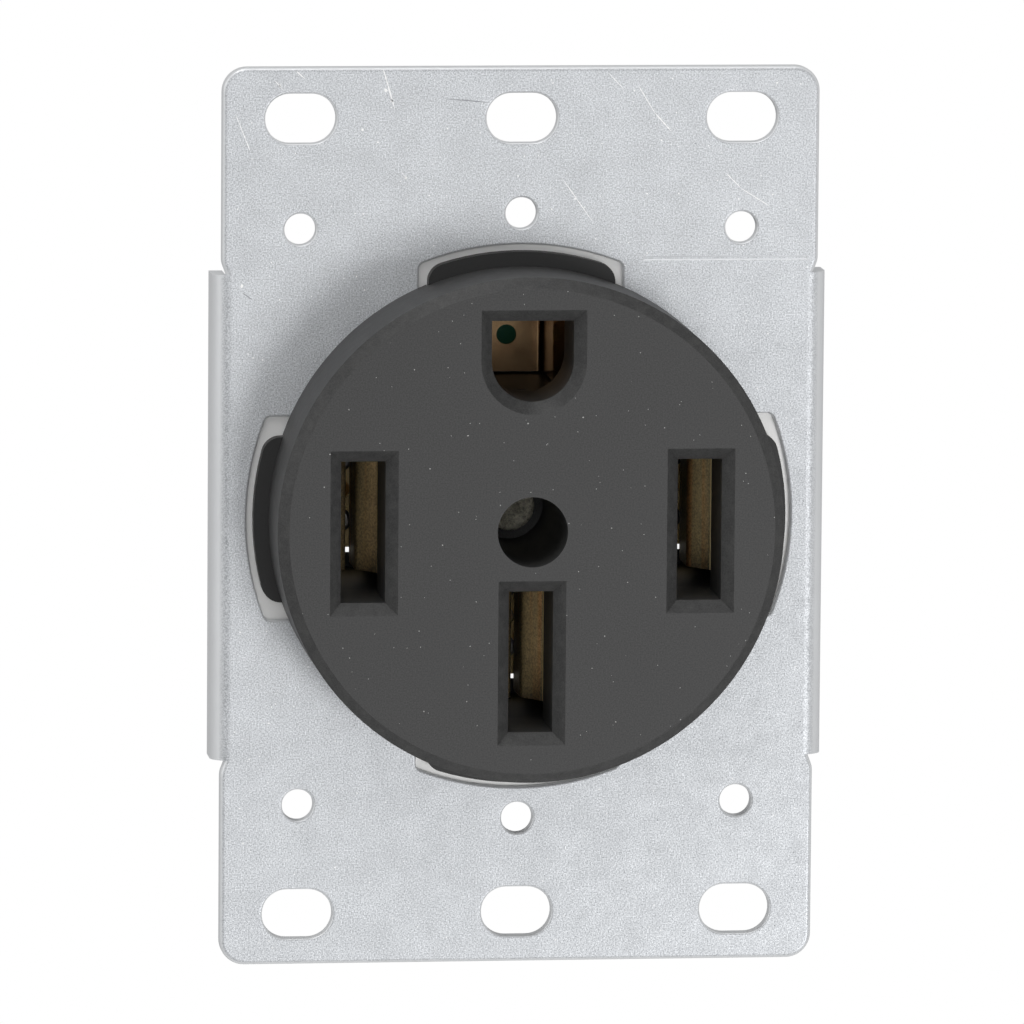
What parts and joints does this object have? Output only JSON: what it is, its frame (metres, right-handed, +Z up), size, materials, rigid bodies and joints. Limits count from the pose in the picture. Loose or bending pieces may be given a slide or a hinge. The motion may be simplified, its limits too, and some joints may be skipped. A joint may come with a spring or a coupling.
{
  "type": "four prong receptacle",
  "caption": "Round flush-mount power receptacle: a dark moulded face and body on a folded steel mounting strap, with brass contacts and wire lugs inside.",
  "frame": {"origin": "middle of the mounting strap's front face, at the centre of the six box screw slots", "axes": "+X to the right, +Z up as hung on a wall, the face looks towards -Y and the body reaches back along +Y"},
  "size_m": [0.0642, 0.0409, 0.094],
  "materials": {
    "galvanised_steel": "galvanised, fine mottled grain, light scratches",
    "face_moulding": "dark grey moulded, fine sparkle",
    "rear_moulding": "black moulded",
    "contact_brass": "rolled strip, slightly tarnished",
    "lug_brass": "machined bar",
    "spring_steel": "rolled spring strip",
    "brass_screw": "turned",
    "plated_screw": "zinc plated",
    "green_screw": "dark green",
    "plated_rivet": "zinc plated",
    "centre_rivet_metal": "yellowish plating, rough struck head"
  },
  "bodies": {
    "root": {"mounting_strap": "galvanised_steel", "face_housing": "face_moulding", "key_plate": "rear_moulding", "middle_housing": "rear_moulding", "partition": "rear_moulding", "wire_housing": "rear_moulding", "rear_housing": "rear_moulding", "rear_cover": "rear_moulding", "hot_contact_left": "contact_brass", "hot_contact_right": "contact_brass", "neutral_contact": "contact_brass", "ground_contact": "contact_brass", "hot_spring_left": "spring_steel", "hot_spring_right": "spring_steel", "neutral_spring": "spring_steel", "hot_lug_left": "lug_brass", "hot_lug_right": "lug_brass", "neutral_lug": "lug_brass", "ground_lug": "lug_brass", "hot_screw_left": "brass_screw", "hot_screw_right": "brass_screw", "neutral_screw": "plated_screw", "ground_screw": "green_screw", "hot_rivets_left": "plated_rivet", "hot_rivets_right": "plated_rivet", "neutral_rivets": "plated_rivet", "ground_rivets": "plated_rivet", "bonding_strap": "contact_brass", "centre_rivet": "centre_rivet_metal", "centre_washer": "plated_rivet", "assembly_screw_1": "plated_screw", "assembly_screw_2": "plated_screw", "assembly_screw_3": "plated_screw", "assembly_screw_4": "plated_screw"}
  },
  "joints": []
}
